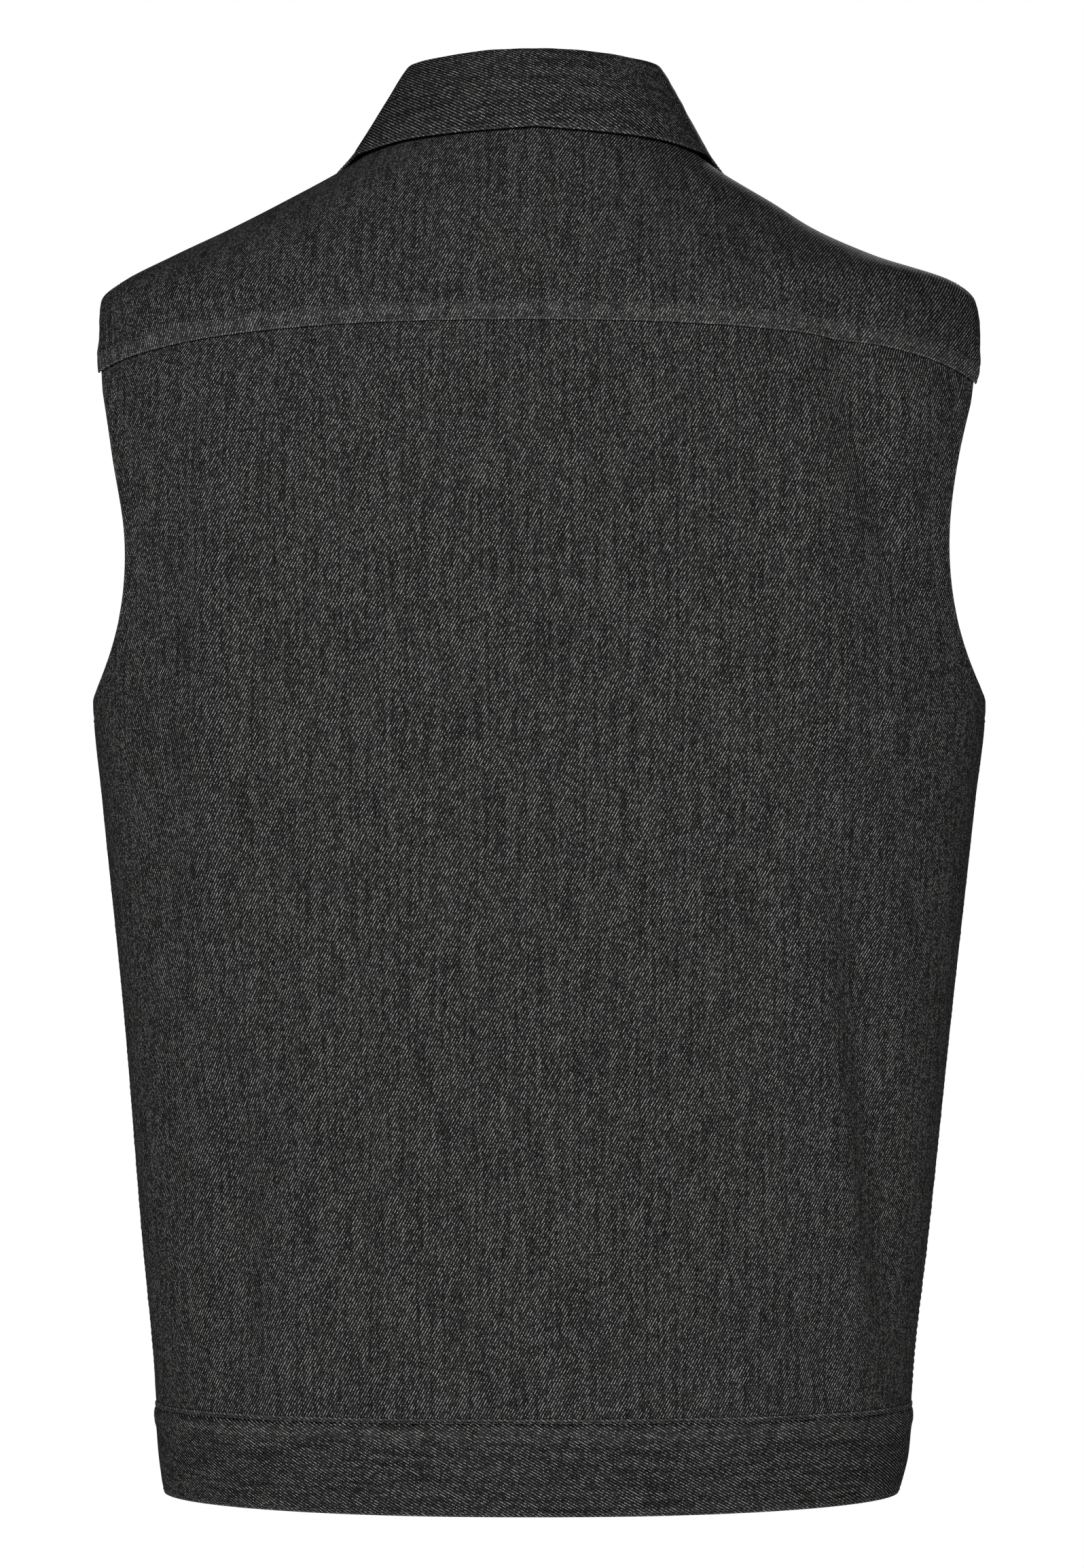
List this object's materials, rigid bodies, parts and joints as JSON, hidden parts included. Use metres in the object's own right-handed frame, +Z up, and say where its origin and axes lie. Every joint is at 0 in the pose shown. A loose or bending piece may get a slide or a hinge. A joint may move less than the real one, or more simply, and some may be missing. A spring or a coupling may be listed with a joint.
{
  "type": "sleeveless denim vest, worn form with no wearer",
  "caption": "Hollow worn sleeveless denim vest with a fold-over collar, lapped back yoke, buttoned front and waistband, open at neck, armholes and hem.",
  "frame": {"origin": "midway between the two shoulder points at the neck seam, where the wearer's shoulders carry the vest", "axes": "+Z up, +Y towards the wearer's back, +X towards the wearer's left"},
  "size_m": [0.43, 0.2592, 0.6931],
  "materials": {
    "denim": "matte charcoal twill, lengthwise grain",
    "denim_cross_grain": "matte charcoal twill, cut across the grain",
    "button_metal": "dark burnished metal"
  },
  "bodies": {
    "root": {"back_panel": "denim", "back_yoke": "denim", "front_left": "denim", "front_right": "denim", "button_stand_right": "denim", "placket_left": "denim", "waistband": "denim_cross_grain", "collar": "denim_cross_grain", "button_1": "button_metal", "button_2": "button_metal", "button_3": "button_metal", "button_4": "button_metal", "button_5": "button_metal", "button_6": "button_metal"}
  },
  "joints": []
}
